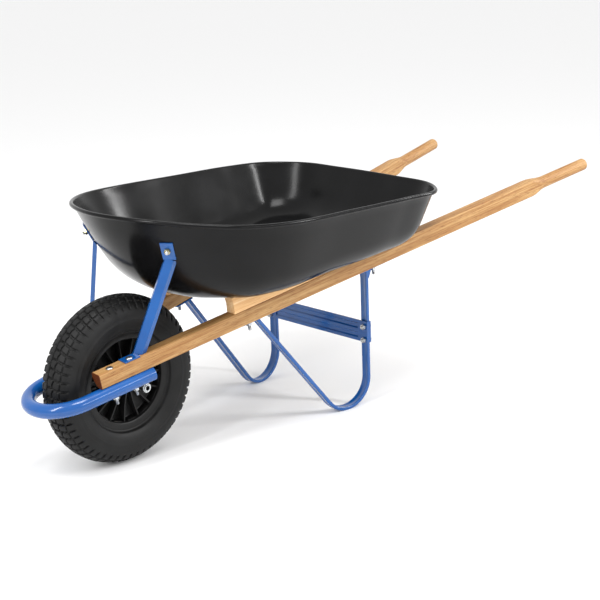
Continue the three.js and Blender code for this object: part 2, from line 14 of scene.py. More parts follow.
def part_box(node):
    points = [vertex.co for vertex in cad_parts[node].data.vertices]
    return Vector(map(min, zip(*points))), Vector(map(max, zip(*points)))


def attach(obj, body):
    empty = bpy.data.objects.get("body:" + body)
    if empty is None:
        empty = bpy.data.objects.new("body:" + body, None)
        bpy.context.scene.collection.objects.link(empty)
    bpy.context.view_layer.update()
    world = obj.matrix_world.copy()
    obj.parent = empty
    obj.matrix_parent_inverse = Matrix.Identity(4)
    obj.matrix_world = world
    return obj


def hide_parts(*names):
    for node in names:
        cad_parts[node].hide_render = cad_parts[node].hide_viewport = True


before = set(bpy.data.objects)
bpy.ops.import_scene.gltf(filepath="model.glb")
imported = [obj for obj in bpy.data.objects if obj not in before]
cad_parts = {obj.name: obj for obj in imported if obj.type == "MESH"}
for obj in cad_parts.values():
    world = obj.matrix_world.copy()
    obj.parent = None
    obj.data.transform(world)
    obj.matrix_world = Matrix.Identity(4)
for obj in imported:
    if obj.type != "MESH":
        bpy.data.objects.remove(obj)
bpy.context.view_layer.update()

MM = 0.001
axle_low, axle_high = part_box("axle")
axle_middle = (axle_low + axle_high) / 2
PLACE = Matrix.Translation((axle_middle.x, 0, 0)) @ Matrix.Scale(MM, 4)
FLIP = Matrix.Diagonal((1, -1, 1, 1))
AXLE_HEIGHT = axle_middle.z / MM

# Driving dimensions of the fine meshes.
WHEEL = {"radius": 200, "half_width": 50, "lip": 118, "rim_half": 34, "barrel": 106, "hub": 24}
TREAD = {"pitches": 58, "depth": 4.2, "steps": 12}
RIBS = 15
TUBE_SIDES = 40
HANDLE = {"half": 17.5, "rise": 6.5, "rise_end": 900, "shoulder": 1419, "end": 1588, "grip": 16.2, "lift": 3}
WEDGE = {"hollow": 2.5, "half": 17}
LOOP = {"radius": 88, "centre": 148, "level": 228.7, "offset": 10.5, "tail": 138, "tube": 17, "wall": 2}
STRAP_TOP = -48.3
LEG = {"width": 25, "thickness": 9, "inward": 5, "upright": -773.2, "radius": 71.5, "foot_cut": 0.8}
DIAGONAL = {"x": -446, "z": 284, "kink": math.radians(-45.2), "blend": 14}
TAB = {
    "thickness": 3.2, "front": 393, "front_end": 450, "rear": 757, "rear_end": 838,
    "web": 22, "web_rear": 796, "web_front": 766,
}
TRAY = {
    "sheet": 1.6, "bead": 5, "lean": 0.41, "floor_z": 366.5, "floor_x": -241, "slope": 0.0975, "middle": -430,
    "lines": 208,
}
BOLT = {"shank": 3.9, "head": 8.5, "dome": 3.6, "pitch": 1.25, "threaded": 16}
GAP = 0.3

# Left half of the line of the rolled rim, from the middle of the front to the middle of the back.
RIM_LINE = [
    (38, 0, 597), (6, 122, 593), (-66, 222, 583), (-157, 292, 573), (-272, 325, 565.5), (-450, 329, 560.5),
    (-640, 328, 556), (-761, 311, 551), (-835, 222, 548.5), (-843, 105, 549), (-844, 0, 549.5),
]


# ---- Camera and studio ---------------------------------------------------------------------

CAMERA = {"place": (1865.3, 2601.5, 1291.9), "yaw": -133.313, "pitch": -16.157, "roll": -2.065, "lens": 86.46}


def set_camera():
    """A long lens from the front left, a little above the rim, with a slight roll."""
    yaw, pitch, roll = (math.radians(CAMERA[k]) for k in ("yaw", "pitch", "roll"))
    way = Vector((math.cos(pitch) * math.cos(yaw), math.cos(pitch) * math.sin(yaw), math.sin(pitch)))
    right = way.cross(Vector((0, 0, 1))).normalized()
    up = right.cross(way)
    rolled_right = right * math.cos(roll) + up * math.sin(roll)
    rolled_up = up * math.cos(roll) - right * math.sin(roll)
    data = bpy.data.cameras.new("camera")
    data.lens = CAMERA["lens"]
    data.sensor_width = 36
    data.clip_end = 60
    camera = bpy.data.objects.new("camera", data)
    camera.matrix_world = Matrix((rolled_right, rolled_up, -way)).transposed().to_4x4()
    camera.location = PLACE @ Vector(CAMERA["place"])
    bpy.context.scene.collection.objects.link(camera)
    bpy.context.scene.camera = camera


def softbox(name, place, target, width, height, watts, card=False):
    """A soft rectangular lamp that faces its target; a card is only seen mirrored in glossy surfaces."""
    data = bpy.data.lights.new(name, "AREA")
    data.shape = "RECTANGLE"
    data.size = width
    data.size_y = height
    data.energy = watts
    lamp = bpy.data.objects.new(name, data)
    lamp.location = place
    lamp.rotation_euler = (Vector(target) - Vector(place)).to_track_quat("-Z", "Y").to_euler()
    lamp.visible_diffuse = not card
    bpy.context.scene.collection.objects.link(lamp)


def set_studio():
    """A white room with narrow soft boxes, each where a surface mirrors it towards the camera."""
    world = bpy.data.worlds.new("studio")
    world.use_nodes = True
    sky = world.node_tree.nodes["Background"]
    sky.inputs["Color"].default_value = (1, 1, 1, 1)
    sky.inputs["Strength"].default_value = 1.0
    bpy.context.scene.world = world
    bpy.context.scene.view_settings.view_transform = "Standard"
    rear_corner, front_side, guard = (-0.17, -0.26, 0.48), (0.35, -0.3, 0.53), (0.6, 0.12, 0.23)
    softbox("overhead", (0.8, 0.8, 3.0), rear_corner, 1.1, 1.1, 44)
    softbox("front_strip", (2.4, 0.3, 1.9), rear_corner, 0.3, 1.9, 34)
    softbox("side_strip", (-1.3, 2.2, 1.75), rear_corner, 0.26, 1.4, 44)
    softbox("rear_strip", (-2.2, 0.95, 1.5), front_side, 0.22, 1.2, 26, card=True)
    softbox("long_strip", (-0.1, 3.0, 1.45), guard, 2.4, 0.16, 26, card=True)


# ---- Meshes --------------------------------------------------------------------------------

def loft(mesh, rings, across=True, along=False, caps=False):
    """Joins rings of points with quads; across closes each ring, along joins the last to the first."""
    rows = [[mesh.verts.new(p) for p in ring] for ring in rings]
    count = len(rows[0])
    for i in range(len(rows) if along else len(rows) - 1):
        near, far = rows[i], rows[(i + 1) % len(rows)]
        for j in range(count if across else count - 1):
            k = (j + 1) % count
            mesh.faces.new((near[j], far[j], far[k], near[k]))
    if caps:
        mesh.faces.new(rows[0])
        mesh.faces.new(list(reversed(rows[-1])))


def revolve(profile, segments, axis="Y"):
    """Rings of a body turned about Y or Z from (radius, height) points."""
    rings = []
    for k in range(segments):
        c, s = math.cos(2 * math.pi * k / segments), math.sin(2 * math.pi * k / segments)
        if axis == "Z":
            rings.append([Vector((r * c, r * s, h)) for r, h in profile])
        else:
            rings.append([Vector((r * c, h, r * s)) for r, h in profile])
    return rings


def add_turned(mesh, profile, segments):
    """A turned body about its own Z, whose profile starts and ends on the axis."""
    loft(mesh, revolve(profile, segments, "Z"), across=False, along=True)


def add_slab(mesh, outline, half):
    """An outline in the XZ plane given a thickness of twice half along Y."""
    loft(mesh, [[Vector((x, y, z)) for x, z in outline] for y in (-half, half)], caps=True)


def piece(name, mesh, material, slot, body, nodes, place=Matrix.Identity(4), sharp=35, bevel=0, segments=3):
    """Makes an object of a mesh in millimetres; place is the object's own frame."""
    bmesh.ops.remove_doubles(mesh, verts=mesh.verts, dist=0.001)
    bmesh.ops.recalc_face_normals(mesh, faces=mesh.faces)
    data = bpy.data.meshes.new(name)
    mesh.to_mesh(data)
    mesh.free()
    data.transform(Matrix.Scale(MM, 4))
    for face in data.polygons:
        face.use_smooth = True
    data.set_sharp_from_angle(angle=math.radians(sharp))
    data.materials.append(material)
    made = bpy.data.objects.new(name, data)
    carried = PLACE @ place @ Matrix.Scale(1 / MM, 4)
    made.matrix_world = carried
    bpy.context.scene.collection.objects.link(made)
    if bevel:
        soften(made, bevel, segments)
    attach(made, body)
    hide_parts(*nodes)
    return made


def soften(made, width, segments=3, angle=32):
    """Rounds the sharp edges of a piece."""
    rounding = made.modifiers.new("rounded_edges", "BEVEL")
    rounding.width = width * MM
    rounding.segments = segments
    rounding.limit_method = "ANGLE"
    rounding.angle_limit = math.radians(angle)
    rounding.harden_normals = True


def both_sides(name, build, material, slot, place=Matrix.Identity(4), body="frame", **options):
    """A left piece and its mirror image on the right."""
    for side, turn in (("left", False), ("right", True)):
        mesh = bmesh.new()
        build(mesh)
        if turn:
            mesh.transform(FLIP)
        own = FLIP @ place @ FLIP if turn else place
        full = f"{name}_{side}"
        piece(f"{full}_fine", mesh, material, slot, body, [full], own, **options)


# ---- Frames read from the CAD pieces ---------------------------------------------------------

def corners(node):
    """A CAD node's corners in millimetres."""
    back = PLACE.inverted()
    return [back @ v.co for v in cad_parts[node].data.vertices]


def spin_axis(node):
    """The axis of a round or hexagonal piece: the odd one of its faces' three main directions."""
    tensor = np.zeros((3, 3))
    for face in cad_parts[node].data.polygons:
        normal = np.array(face.normal)
        tensor += face.area * np.outer(normal, normal)
    values, axes = np.linalg.eigh(tensor)
    odd = 0 if values[1] - values[0] > values[2] - values[1] else 2
    return Vector(axes[:, odd])


def spin_frame(node):
    """A frame on a fastener's axis, its z from the wider end to the narrower, and its length."""
    axis = spin_axis(node)
    points = corners(node)
    middle = sum(points, Vector()) / len(points)
    heights = [(p - middle).dot(axis) for p in points]
    radii = [((p - middle) - axis * h).length for p, h in zip(points, heights)]
    middle = middle + axis * (min(heights) + max(heights)) / 2
    widest = heights[radii.index(max(radii))]
    if widest > (min(heights) + max(heights)) / 2:
        axis = -axis
    length = max(heights) - min(heights)
    turn = Vector((0, 0, 1)).rotation_difference(axis).to_matrix().to_4x4()
    return Matrix.Translation(middle - axis * length / 2) @ turn, length


def frame_from(origin, x, z):
    """A frame whose z axis is z and whose x axis is as near to x as it can be."""
    y = z.cross(x).normalized()
    return Matrix.Translation(origin) @ Matrix((y.cross(z), y, z)).transposed().to_4x4()


def read_handle_frame():
    """Left handle: x forwards along the wood from its front end, z square to it and up."""
    upward = spin_axis("leg_front_nut_left")
    upward = upward if upward.z > 0 else -upward
    bolts = [spin_frame(f"leg_{end}_bolt_left")[0].translation for end in ("front", "rear")]
    along = bolts[0] - bolts[1]
    along = (along - upward * along.dot(upward)).normalized()
    points = [p - bolts[0] for p in corners("handle_left")]
    ahead = max(p.dot(along) for p in points)
    low = min(p.dot(upward) for p in points)
    origin = bolts[0] + along * ahead + upward * (low + HANDLE["half"])
    return frame_from(origin, along, upward)


HANDLE_FRAME = read_handle_frame()
FRONT = HANDLE_FRAME.translation
FORWARDS = HANDLE_FRAME.to_3x3() @ Vector((1, 0, 0))
TOE = math.atan2(-FORWARDS.y, FORWARDS.x)
SLOPE = math.asin(-FORWARDS.z)
LEG_FRAME = (
    Matrix.Translation((FRONT.x, FRONT.y, 0)) @ Matrix.Rotation(-TOE, 4, "Z")
    @ Matrix.Translation((0, -LEG["inward"], 0))
)
LOOP_SLOPE = math.atan(math.tan(SLOPE) / math.cos(TOE))
LOOP_FRAME = Matrix.Translation((0, 0, LOOP["level"])) @ Matrix.Rotation(LOOP_SLOPE, 4, "Y")
HUB_FRAME = Matrix.Translation((0, 0, AXLE_HEIGHT))


def handle_top(along):
    """Height of the handle's top over its line: the wood grows deeper to the rear."""
    return HANDLE["half"] + HANDLE["rise"] * min(along, HANDLE["rise_end"]) / HANDLE["rise_end"]


def smoothstep(value, low, high):
    t = min(1, max(0, (value - low) / (high - low)))
    return t * t * (3 - 2 * t)


def blend(a, b, t):
    return a + (b - a) * t


# ---- Finishes ------------------------------------------------------------------------------

def linear(code):
    """An sRGB hex colour as linear RGBA."""
    parts = [int(code[i:i + 2], 16) / 255 for i in (1, 3, 5)]
    return (*[p / 12.92 if p <= 0.04045 else ((p + 0.055) / 1.055) ** 2.4 for p in parts], 1)


def add(tree, kind, values=None, links=None, **settings):
    """Adds a node with its settings, its sockets' values and its links."""
    made = tree.nodes.new(kind)
    for key, value in settings.items():
        setattr(made, key, value)
    for key, value in (values or {}).items():
        made.inputs[key].default_value = value
    for key, source in (links or {}).items():
        tree.links.new(source, made.inputs[key])
    return made


def finish(name, **sockets):
    """A material of that name with its shader's plain sockets set, and its tree and shader."""
    material = bpy.data.materials.new(name)
    material.use_nodes = True
    shader = material.node_tree.nodes["Principled BSDF"]
    for key, value in sockets.items():
        shader.inputs[key.replace("_", " ")].default_value = value
    return material, material.node_tree, shader


def object_space(tree, scale):
    """The piece's own coordinates in metres, times a scale for each axis."""
    here = add(tree, "ShaderNodeTexCoord")
    scaled = add(tree, "ShaderNodeMapping", {"Scale": scale}, {"Vector": here.outputs["Object"]})
    return scaled.outputs["Vector"]


def mixed(tree, factor, dark, light):
    """Two colours mixed by a factor."""
    made = add(tree, "ShaderNodeMix", data_type="RGBA")
    made.inputs["A"].default_value = linear(dark)
    made.inputs["B"].default_value = linear(light)
    tree.links.new(factor, made.inputs["Factor"])
    return made.outputs["Result"]


def ranged(tree, source, low, high, out_low=0.0, out_high=1.0):
    """A value carried from one range to another."""
    values = {"From Min": low, "From Max": high, "To Min": out_low, "To Max": out_high}
    return add(tree, "ShaderNodeMapRange", values, {"Value": source}).outputs["Result"]


def roughen(tree, shader, height, depth, strength=1.0):
    """Raises the surface by a height pattern; depth is in millimetres."""
    bump = add(tree, "ShaderNodeBump", {"Distance": depth * MM, "Strength": strength}, {"Height": height})
    tree.links.new(bump.outputs["Normal"], shader.inputs["Normal"])


def noise(tree, vector, scale, detail=3.0, roughness=0.5):
    values = {"Scale": scale, "Detail": detail, "Roughness": roughness}
    return add(tree, "ShaderNodeTexNoise", values, {"Vector": vector}).outputs["Fac"]


def powder_coated_steel(name, dark, light, roughness, gloss, coat):
    """Steel dusted with paint powder and baked: a gloss that is faintly dimpled like orange peel."""
    material, tree, shader = finish(name, Coat_Weight=coat, Coat_Roughness=0.08, Specular_IOR_Level=gloss)
    space = object_space(tree, (1, 1, 1))
    cloud = noise(tree, space, 9)
    tree.links.new(mixed(tree, ranged(tree, cloud, 0.35, 0.65), dark, light), shader.inputs["Base Color"])
    uneven = ranged(tree, cloud, 0.3, 0.7, roughness - 0.03, roughness + 0.04)
    tree.links.new(uneven, shader.inputs["Roughness"])
    peel = noise(tree, space, 1 / (2.2 * MM), 1.5)
    roughen(tree, shader, peel, 0.03)
    return material


def planed_wood(name, colours, ring, fleck):
    """Planed and oiled wood: long growth rings, darker late wood, short open pores, dark end grain."""
    material, tree, shader = finish(name, Specular_IOR_Level=0.35)
    long_space = object_space(tree, (0.9, 14, 14))
    drift = noise(tree, long_space, 1.0, 2.0)
    rings = add(tree, "ShaderNodeMath", {1: 2 * math.pi * ring}, {0: drift}, operation="MULTIPLY")
    wave = add(tree, "ShaderNodeMath", {}, {0: rings.outputs[0]}, operation="SINE").outputs[0]
    streak = noise(tree, object_space(tree, (9, 420, 420)), 1.0, 4.0, 0.6)
    pore = noise(tree, object_space(tree, (45, 1100, 1100)), 1.0, 2.0)
    base = mixed(tree, ranged(tree, wave, -1, 1), colours[0], colours[1])
    streaked = add(tree, "ShaderNodeMix", data_type="RGBA", blend_type="MULTIPLY")
    tree.links.new(ranged(tree, streak, 0.42, 0.7, 0, 0.75), streaked.inputs["Factor"])
    tree.links.new(base, streaked.inputs["A"])
    streaked.inputs["B"].default_value = linear(colours[2])
    flecked = add(tree, "ShaderNodeMix", data_type="RGBA", blend_type="MULTIPLY")
    tree.links.new(ranged(tree, pore, 0.58, 0.7, 0, fleck), flecked.inputs["Factor"])
    tree.links.new(streaked.outputs["Result"], flecked.inputs["A"])
    flecked.inputs["B"].default_value = linear(colours[3])
    along = add(tree, "ShaderNodeSeparateXYZ", {}, {"Vector": object_space(tree, (1, 1, 1))}).outputs["X"]
    ended = add(tree, "ShaderNodeMix", data_type="RGBA", blend_type="MULTIPLY")
    tree.links.new(ranged(tree, along, -1.5 * MM, -0.8 * MM), ended.inputs["Factor"])
    tree.links.new(flecked.outputs["Result"], ended.inputs["A"])
    ended.inputs["B"].default_value = linear(colours[3])
    tree.links.new(ended.outputs["Result"], shader.inputs["Base Color"])
    tree.links.new(ranged(tree, streak, 0.3, 0.7, 0.48, 0.62), shader.inputs["Roughness"])
    roughen(tree, shader, pore, 0.12)
    return material


def zinc_plate(name, dark, light, roughness):
    """Barrel-plated steel: a bright grey metal, clouded where the plate took unevenly."""
    material, tree, shader = finish(name, Metallic=1.0)
    cloud = noise(tree, object_space(tree, (1, 1, 1)), 1 / (6 * MM))
    tree.links.new(mixed(tree, ranged(tree, cloud, 0.35, 0.65), dark, light), shader.inputs["Base Color"])
    uneven = ranged(tree, cloud, 0.3, 0.7, roughness - 0.06, roughness + 0.1)
    tree.links.new(uneven, shader.inputs["Roughness"])
    roughen(tree, shader, noise(tree, object_space(tree, (1, 1, 1)), 1 / (1.2 * MM)), 0.02)
    return material


def moulded(name, dark, light, roughness, grit, depth, gloss=0.2):
    """Rubber or plastic straight from the mould: a fine even grit and a soft sheen."""
    material, tree, shader = finish(name, Specular_IOR_Level=gloss)
    space = object_space(tree, (1, 1, 1))
    cloud = noise(tree, space, 1 / (40 * MM), 4)
    tree.links.new(mixed(tree, ranged(tree, cloud, 0.35, 0.65), dark, light), shader.inputs["Base Color"])
    uneven = ranged(tree, cloud, 0.3, 0.7, roughness - 0.07, roughness + 0.07)
    tree.links.new(uneven, shader.inputs["Roughness"])
    roughen(tree, shader, noise(tree, space, 1 / (grit * MM), 2), depth)
    return material


BLUE = powder_coated_steel("blue_powder_coated_steel", "#07488a", "#0b5298", 0.22, 0.32, 0.5)
BLACK = powder_coated_steel("black_enamelled_pressed_steel", "#0a0a0a", "#0f0f10", 0.19, 0.16, 0.0)
ASH = planed_wood("planed_oiled_ash", ("#a67c4a", "#b8925f", "#bd8e5a", "#8a5c34"), 9, 0.75)
PINE = planed_wood("sawn_pale_pine", ("#e6bb84", "#f3cf9d", "#e0b27c", "#c99a64"), 5, 0.25)
ZINC = zinc_plate("bright_zinc_plate", "#a5a8aa", "#cfd1d2", 0.3)
YELLOW_ZINC = zinc_plate("yellow_zinc_plate", "#a8996a", "#cfc59a", 0.3)
BEARING_STEEL = zinc_plate("ground_bearing_steel", "#8d8f92", "#a4a6a8", 0.25)
RUBBER = moulded("moulded_tyre_rubber", "#121212", "#1a1a1a", 0.5, 1.6, 0.08)
TUBE_RUBBER = moulded("smooth_butyl_rubber", "#131313", "#191919", 0.5, 2.4, 0.03)
PLASTIC = moulded("moulded_black_polypropylene", "#101010", "#161616", 0.35, 1.4, 0.04)


# ---- Tray ----------------------------------------------------------------------------------

def closed_curve(points, steps):
    """A centripetal Catmull-Rom curve through a closed line of points."""
    line = []
    count = len(points)
    for i in range(count):
        p = [points[(i + k) % count] for k in (-1, 0, 1, 2)]
        gap = [math.sqrt((p[k + 1] - p[k]).length) for k in range(3)]
        start = (p[1] - p[0]) / gap[0] - (p[2] - p[0]) / (gap[0] + gap[1]) + (p[2] - p[1]) / gap[1]
        end = (p[2] - p[1]) / gap[1] - (p[3] - p[1]) / (gap[1] + gap[2]) + (p[3] - p[2]) / gap[2]
        start, end = start * gap[1], end * gap[1]
        for k in range(steps):
            t = k / steps
            cube = (2 * p[1] - 2 * p[2] + start + end) * t ** 3
            line.append(cube + (3 * p[2] - 3 * p[1] - 2 * start - end) * t * t + start * t + p[1])
    return line


def at_even_lengths(line, count):
    """Points spaced evenly by length round a closed line."""
    loop = line + [line[0]]
    lengths = [0.0]
    for a, b in zip(loop, loop[1:]):
        lengths.append(lengths[-1] + (b - a).length)
    spots = np.interp(np.arange(count) * lengths[-1] / count, lengths, range(len(loop)))
    return [loop[int(s)].lerp(loop[min(int(s) + 1, len(line))], s - int(s)) for s in spots]


def floor_at(x):
    return TRAY["floor_z"] + (TRAY["floor_x"] - x) * TRAY["slope"]


def wall_lines(count):
    """Upright lines of the tray's wall: each a rim point, the way out, and how the wall bows there."""
    left = [Vector(p) for p in RIM_LINE]
    right = [Vector((p.x, -p.y, p.z)) for p in reversed(left[1:-1])]
    rim = at_even_lengths(closed_curve(left + right, 60), count)
    lines = []
    for i, point in enumerate(rim):
        tangent = rim[(i + 1) % count] - rim[i - 1]
        outward = Vector((tangent.y, -tangent.x, 0)).normalized()
        frontness = max(0, outward.x)
        bow, fillet = 0.001 * frontness ** 1.5, 62 + 50 * frontness ** 0.7
        lines.append({"rim": point, "out": outward, "bow": bow, "fillet": fillet})
    return lines


def wall_point(line, depth, skin):
    inset = TRAY["bead"] - TRAY["sheet"] + skin + TRAY["lean"] * depth + line["bow"] * depth * depth
    point = line["rim"] - line["out"] * inset
    point.z = line["rim"].z - depth
    return point


def tray_side(line, skin):
    """From near the middle of the floor, across it, round the fillet and up the wall."""
    lift = TRAY["sheet"] if skin else 0
    depth = line["rim"].z - floor_at(line["rim"].x) - lift
    for _ in range(12):
        depth = line["rim"].z - floor_at(wall_point(line, depth, skin).x) - lift
    corner = wall_point(line, depth, skin)
    middle = Vector((TRAY["middle"], 0, floor_at(TRAY["middle"]) + lift))
    inward = (middle - corner) * Vector((1, 1, 0))
    flat = corner + inward.normalized() * line["fillet"]
    flat.z = floor_at(flat.x) + lift
    top = wall_point(line, depth - line["fillet"] * 0.9, skin)
    floor = [middle.lerp(flat, k / 8) for k in range(1, 8)]
    bend = [flat * (1 - t) ** 2 + corner * 2 * t * (1 - t) + top * t * t for t in (k / 14 for k in range(15))]
    start = depth - line["fillet"] * 0.9
    end = TRAY["bead"] * 0.7
    wall = [wall_point(line, blend(start, end, k / 9), skin) for k in range(1, 9)]
    return floor + bend + wall


def build_tray(mesh):
    """One pressing: a dished floor, leaning walls and a rim rolled outwards into a bead."""
    bead, sheet = TRAY["bead"], TRAY["sheet"]
    first = math.acos((bead - sheet) / bead) - math.pi
    rings = []
    for line in wall_lines(TRAY["lines"]):
        roll = []
        for k in range(17):
            angle = first + (math.pi - first) * k / 16
            point = line["rim"] + line["out"] * bead * math.cos(angle)
            roll.append(point + Vector((0, 0, bead * math.sin(angle))))
        rings.append(tray_side(line, 0) + roll + tray_side(line, sheet)[::-1])
    rows = [[mesh.verts.new(p) for p in ring] for ring in rings]
    for near, far in zip(rows, rows[1:] + rows[:1]):
        for j in range(len(near) - 1):
            mesh.faces.new((near[j], far[j], far[j + 1], near[j + 1]))
    for end in (0, -1):
        mesh.faces.new([row[end] for row in rows])


# ---- Wheel ---------------------------------------------------------------------------------

def smooth_line(points, steps):
    """A curve through open points, as evenly turned as the points allow."""
    line = []
    ends = [points[0] * 2 - points[1], *points, points[-1] * 2 - points[-2]]
    for a, b, c, d in zip(ends, ends[1:], ends[2:], ends[3:]):
        for k in range(steps):
            t = k / steps
            square, cube = 2 * a - 5 * b + 4 * c - d, 3 * b - a - 3 * c + d
            line.append(0.5 * (2 * b + (c - a) * t + square * t * t + cube * t ** 3))
    return line + [points[-1]]


def tyre_outside():
    """Half of the tyre's outer line from bead to crown as (radius, across), before the tread is cut."""
    lip, half = WHEEL["lip"], WHEEL["rim_half"]
    points = [
        (lip + 1, half + 0.6), (126, 44), (140, 49.2), (152, WHEEL["half_width"]), (168, 47.5),
        (183, 40), (195, 24), (199.2, 10), (WHEEL["radius"], 0),
    ]
    return smooth_line([Vector((*p, 0)) for p in points], 9)


def groove(place, width, edge):
    """1 in the middle of a groove of that width and 0 outside it, with a sloping side."""
    return 1 - smoothstep(abs(place), width / 2 - edge, width / 2 + edge)


def tread_cut(turn, across):
    """How deep the tread is cut at a turn, counted in pitches, and a distance from the crown line."""
    side = abs(across)
    if side > 47:
        return 0
    pitch = 2 * math.pi * WHEEL["radius"] / TREAD["pitches"]
    shift = 0.5 if across < 0 else 0
    phase = ((turn + shift + 0.35 * smoothstep(side, 4, 40)) % 1 - 0.5) * pitch
    cuts = [
        groove(across, 3.4, 0.8),
        groove(side - 17 - 1.6 * math.sin(2 * math.pi * turn), 3.2, 0.8),
        groove(phase, 4.0 if side < 17 else 5.4, 1.0),
        groove(side - 33, 2.4, 0.8) * 0.7,
    ]
    fade = 1 - smoothstep(side, 42, 47)
    return TREAD["depth"] * max(cuts) * fade


def build_tyre(mesh):
    """Pneumatic tyre: ringed sidewalls and a crown cut into rows of blocks."""
    half = tyre_outside()
    line = [Vector((p.x, -p.y, 0)) for p in half] + half[-2::-1]
    dense = []
    for a, b in zip(line, line[1:]):
        steps = 3 if abs((a.y + b.y) / 2) < 48 and a.x > 165 else 1
        dense += [a.lerp(b, k / steps) for k in range(steps)]
    dense.append(line[-1])
    normals = []
    for i, p in enumerate(dense):
        tangent = dense[min(i + 1, len(dense) - 1)] - dense[max(i - 1, 0)]
        normals.append(Vector((tangent.y, -tangent.x, 0)).normalized())
    for i, (p, normal) in enumerate(zip(dense, normals)):
        if normal.dot(Vector((p.x - 150, p.y, 0))) < 0:
            normals[i] = -normal
    inside = [(106.6, 30.4), (106.6, 20), (122, 31), (138, 41.5), (160, 43), (180, 28), (188, 8)]
    inner = [Vector((*p, 0)) for p in inside]
    rings_of_wall = ((123, 3, 0.9), (149, 2.4, 0.7), (156, 2, -0.5))
    wall = inner + [Vector((p.x, -p.y, 0)) for p in reversed(inner)]
    rings = []
    count = TREAD["pitches"] * TREAD["steps"]
    for k in range(count):
        turn = k / TREAD["steps"]
        angle = 2 * math.pi * k / count
        ring = []
        for p, normal in zip(dense, normals):
            swell = sum(h * groove(p.x - r, w, w / 3) for r, w, h in rings_of_wall)
            cut = tread_cut(turn, p.y) if p.x > 160 else 0
            ring.append(p + normal * (swell * (p.x < 165) - cut))
        ring += wall
        rings.append([Vector((p.x * math.cos(angle), p.y, p.x * math.sin(angle))) for p in ring])
    loft(mesh, rings, along=True)


def build_rim(mesh):
    """Moulded plastic rim: a flat web, straight ribs on both sides, and pads on the barrel between them."""
    lip, half, barrel, hub = (WHEEL[k] for k in ("lip", "rim_half", "barrel", "hub"))
    inside = barrel - 7.5
    finish_at = inside + 1.2
    side = [
        (10.9, 32), (17.3, 32), (17.3, 43.4), (17.9, 44), (hub - 0.8, 44), (hub, 43.2), (hub, 8),
        (hub + 1.5, 4.5), (hub + 6, 3),
        (inside - 3, 3), (inside - 0.5, 4.5), (inside, 7), (inside + 1, half - 7), (inside + 2.4, half - 3),
        (inside + 5, half - 1.6), (lip - 5, half - 0.3), (lip - 3, half),
        (lip - 0.8, half - 0.5), (lip, half - 1.6), (lip - 0.8, half - 3), (barrel + 1, half - 3),
        (barrel, half - 4.4),
        (barrel, 15), (barrel - 3.5, 9),
    ]
    profile = [(r, -y) for r, y in side] + side[::-1]
    loft(mesh, revolve(profile, 120), along=True)
    for k in range(RIBS):
        turn = Matrix.Rotation(-2 * math.pi * (k + 0.5) / RIBS, 4, "Y")
        edge = [(hub - 1.5, 31.5), (60, 24.5), (finish_at, 24)]
        outline = edge + [(x, -y) for x, y in reversed(edge)]
        sides = [[turn @ Vector((x, y, z)) for x, y in outline] for z in (-1.6, 1.6)]
        loft(mesh, sides, caps=True)
    for k in range(RIBS):
        for way in (-1, 1):
            turn = Matrix.Rotation(-2 * math.pi * k / RIBS, 4, "Y")
            place = turn @ Matrix.Translation((inside + 0.2, way * 20, 0))
            corners_of_pad = [(-1.6, -5.5), (1.2, -5.5), (1.2, 5.5), (-1.6, 5.5)]
            sides = [[place @ Vector((x, y, z)) for x, y in corners_of_pad] for z in (-11, 11)]
            loft(mesh, sides, caps=True)


# ---- Wood ----------------------------------------------------------------------------------

def handle_ring(along, sides=10):
    """The handle's section at a distance from its front end: square with eased edges, then round."""
    half, grip = HANDLE["half"], HANDLE["grip"]
    low, top, wide = -half, handle_top(along), half
    turning = smoothstep(along, HANDLE["shoulder"] - 48, HANDLE["shoulder"] + 6)
    easing = smoothstep(along, HANDLE["shoulder"] - 60, HANDLE["shoulder"] - 5)
    low = blend(low, HANDLE["lift"] - grip, turning)
    top = blend(top, HANDLE["lift"] + grip, turning)
    wide = blend(wide, grip, turning)
    nose = min(1, (HANDLE["end"] - along) / 9)
    shrink = math.sqrt(max(0.02, 1 - (1 - nose) ** 2))
    centre = (low + top) / 2
    low, top, wide = centre + (low - centre) * shrink, centre + (top - centre) * shrink, wide * shrink
    eased = blend(3.6, min(wide, (top - low) / 2), easing) * 0.999
    rounded = blend(eased, 27, 1 - smoothstep(along, 40, 49)) if along < 50 else eased
    radii = [eased, eased, rounded, eased]
    places = [(wide, top), (wide, low), (-wide, low), (-wide, top)]
    ways = [(-1, -1), (-1, 1), (1, 1), (1, -1)]
    ring = []
    for k, ((y, z), (dy, dz), r) in enumerate(zip(places, ways, radii)):
        for j in range(sides + 1):
            angle = math.pi / 2 * (1 - k) - math.pi / 2 * j / sides
            ring.append(Vector((-along, y + dy * r + r * math.cos(angle), z + dz * r + r * math.sin(angle))))
    return ring


def build_handle(mesh):
    """Long handle with eased edges and a turned grip; its front end is rounded below on the inside."""
    shoulder, end = HANDLE["shoulder"], HANDLE["end"]
    stops = [0, 0.7, 20, 38, 42, 45, 48, 52] + list(np.linspace(90, shoulder - 110, 30))
    stops += list(np.linspace(shoulder - 100, shoulder + 10, 44))
    stops += list(np.linspace(shoulder + 20, end - 10, 8))
    stops += [end - 9 * math.cos(a) for a in np.linspace(0, math.pi / 2, 9)]
    loft(mesh, [handle_ring(s) for s in stops], caps=True)


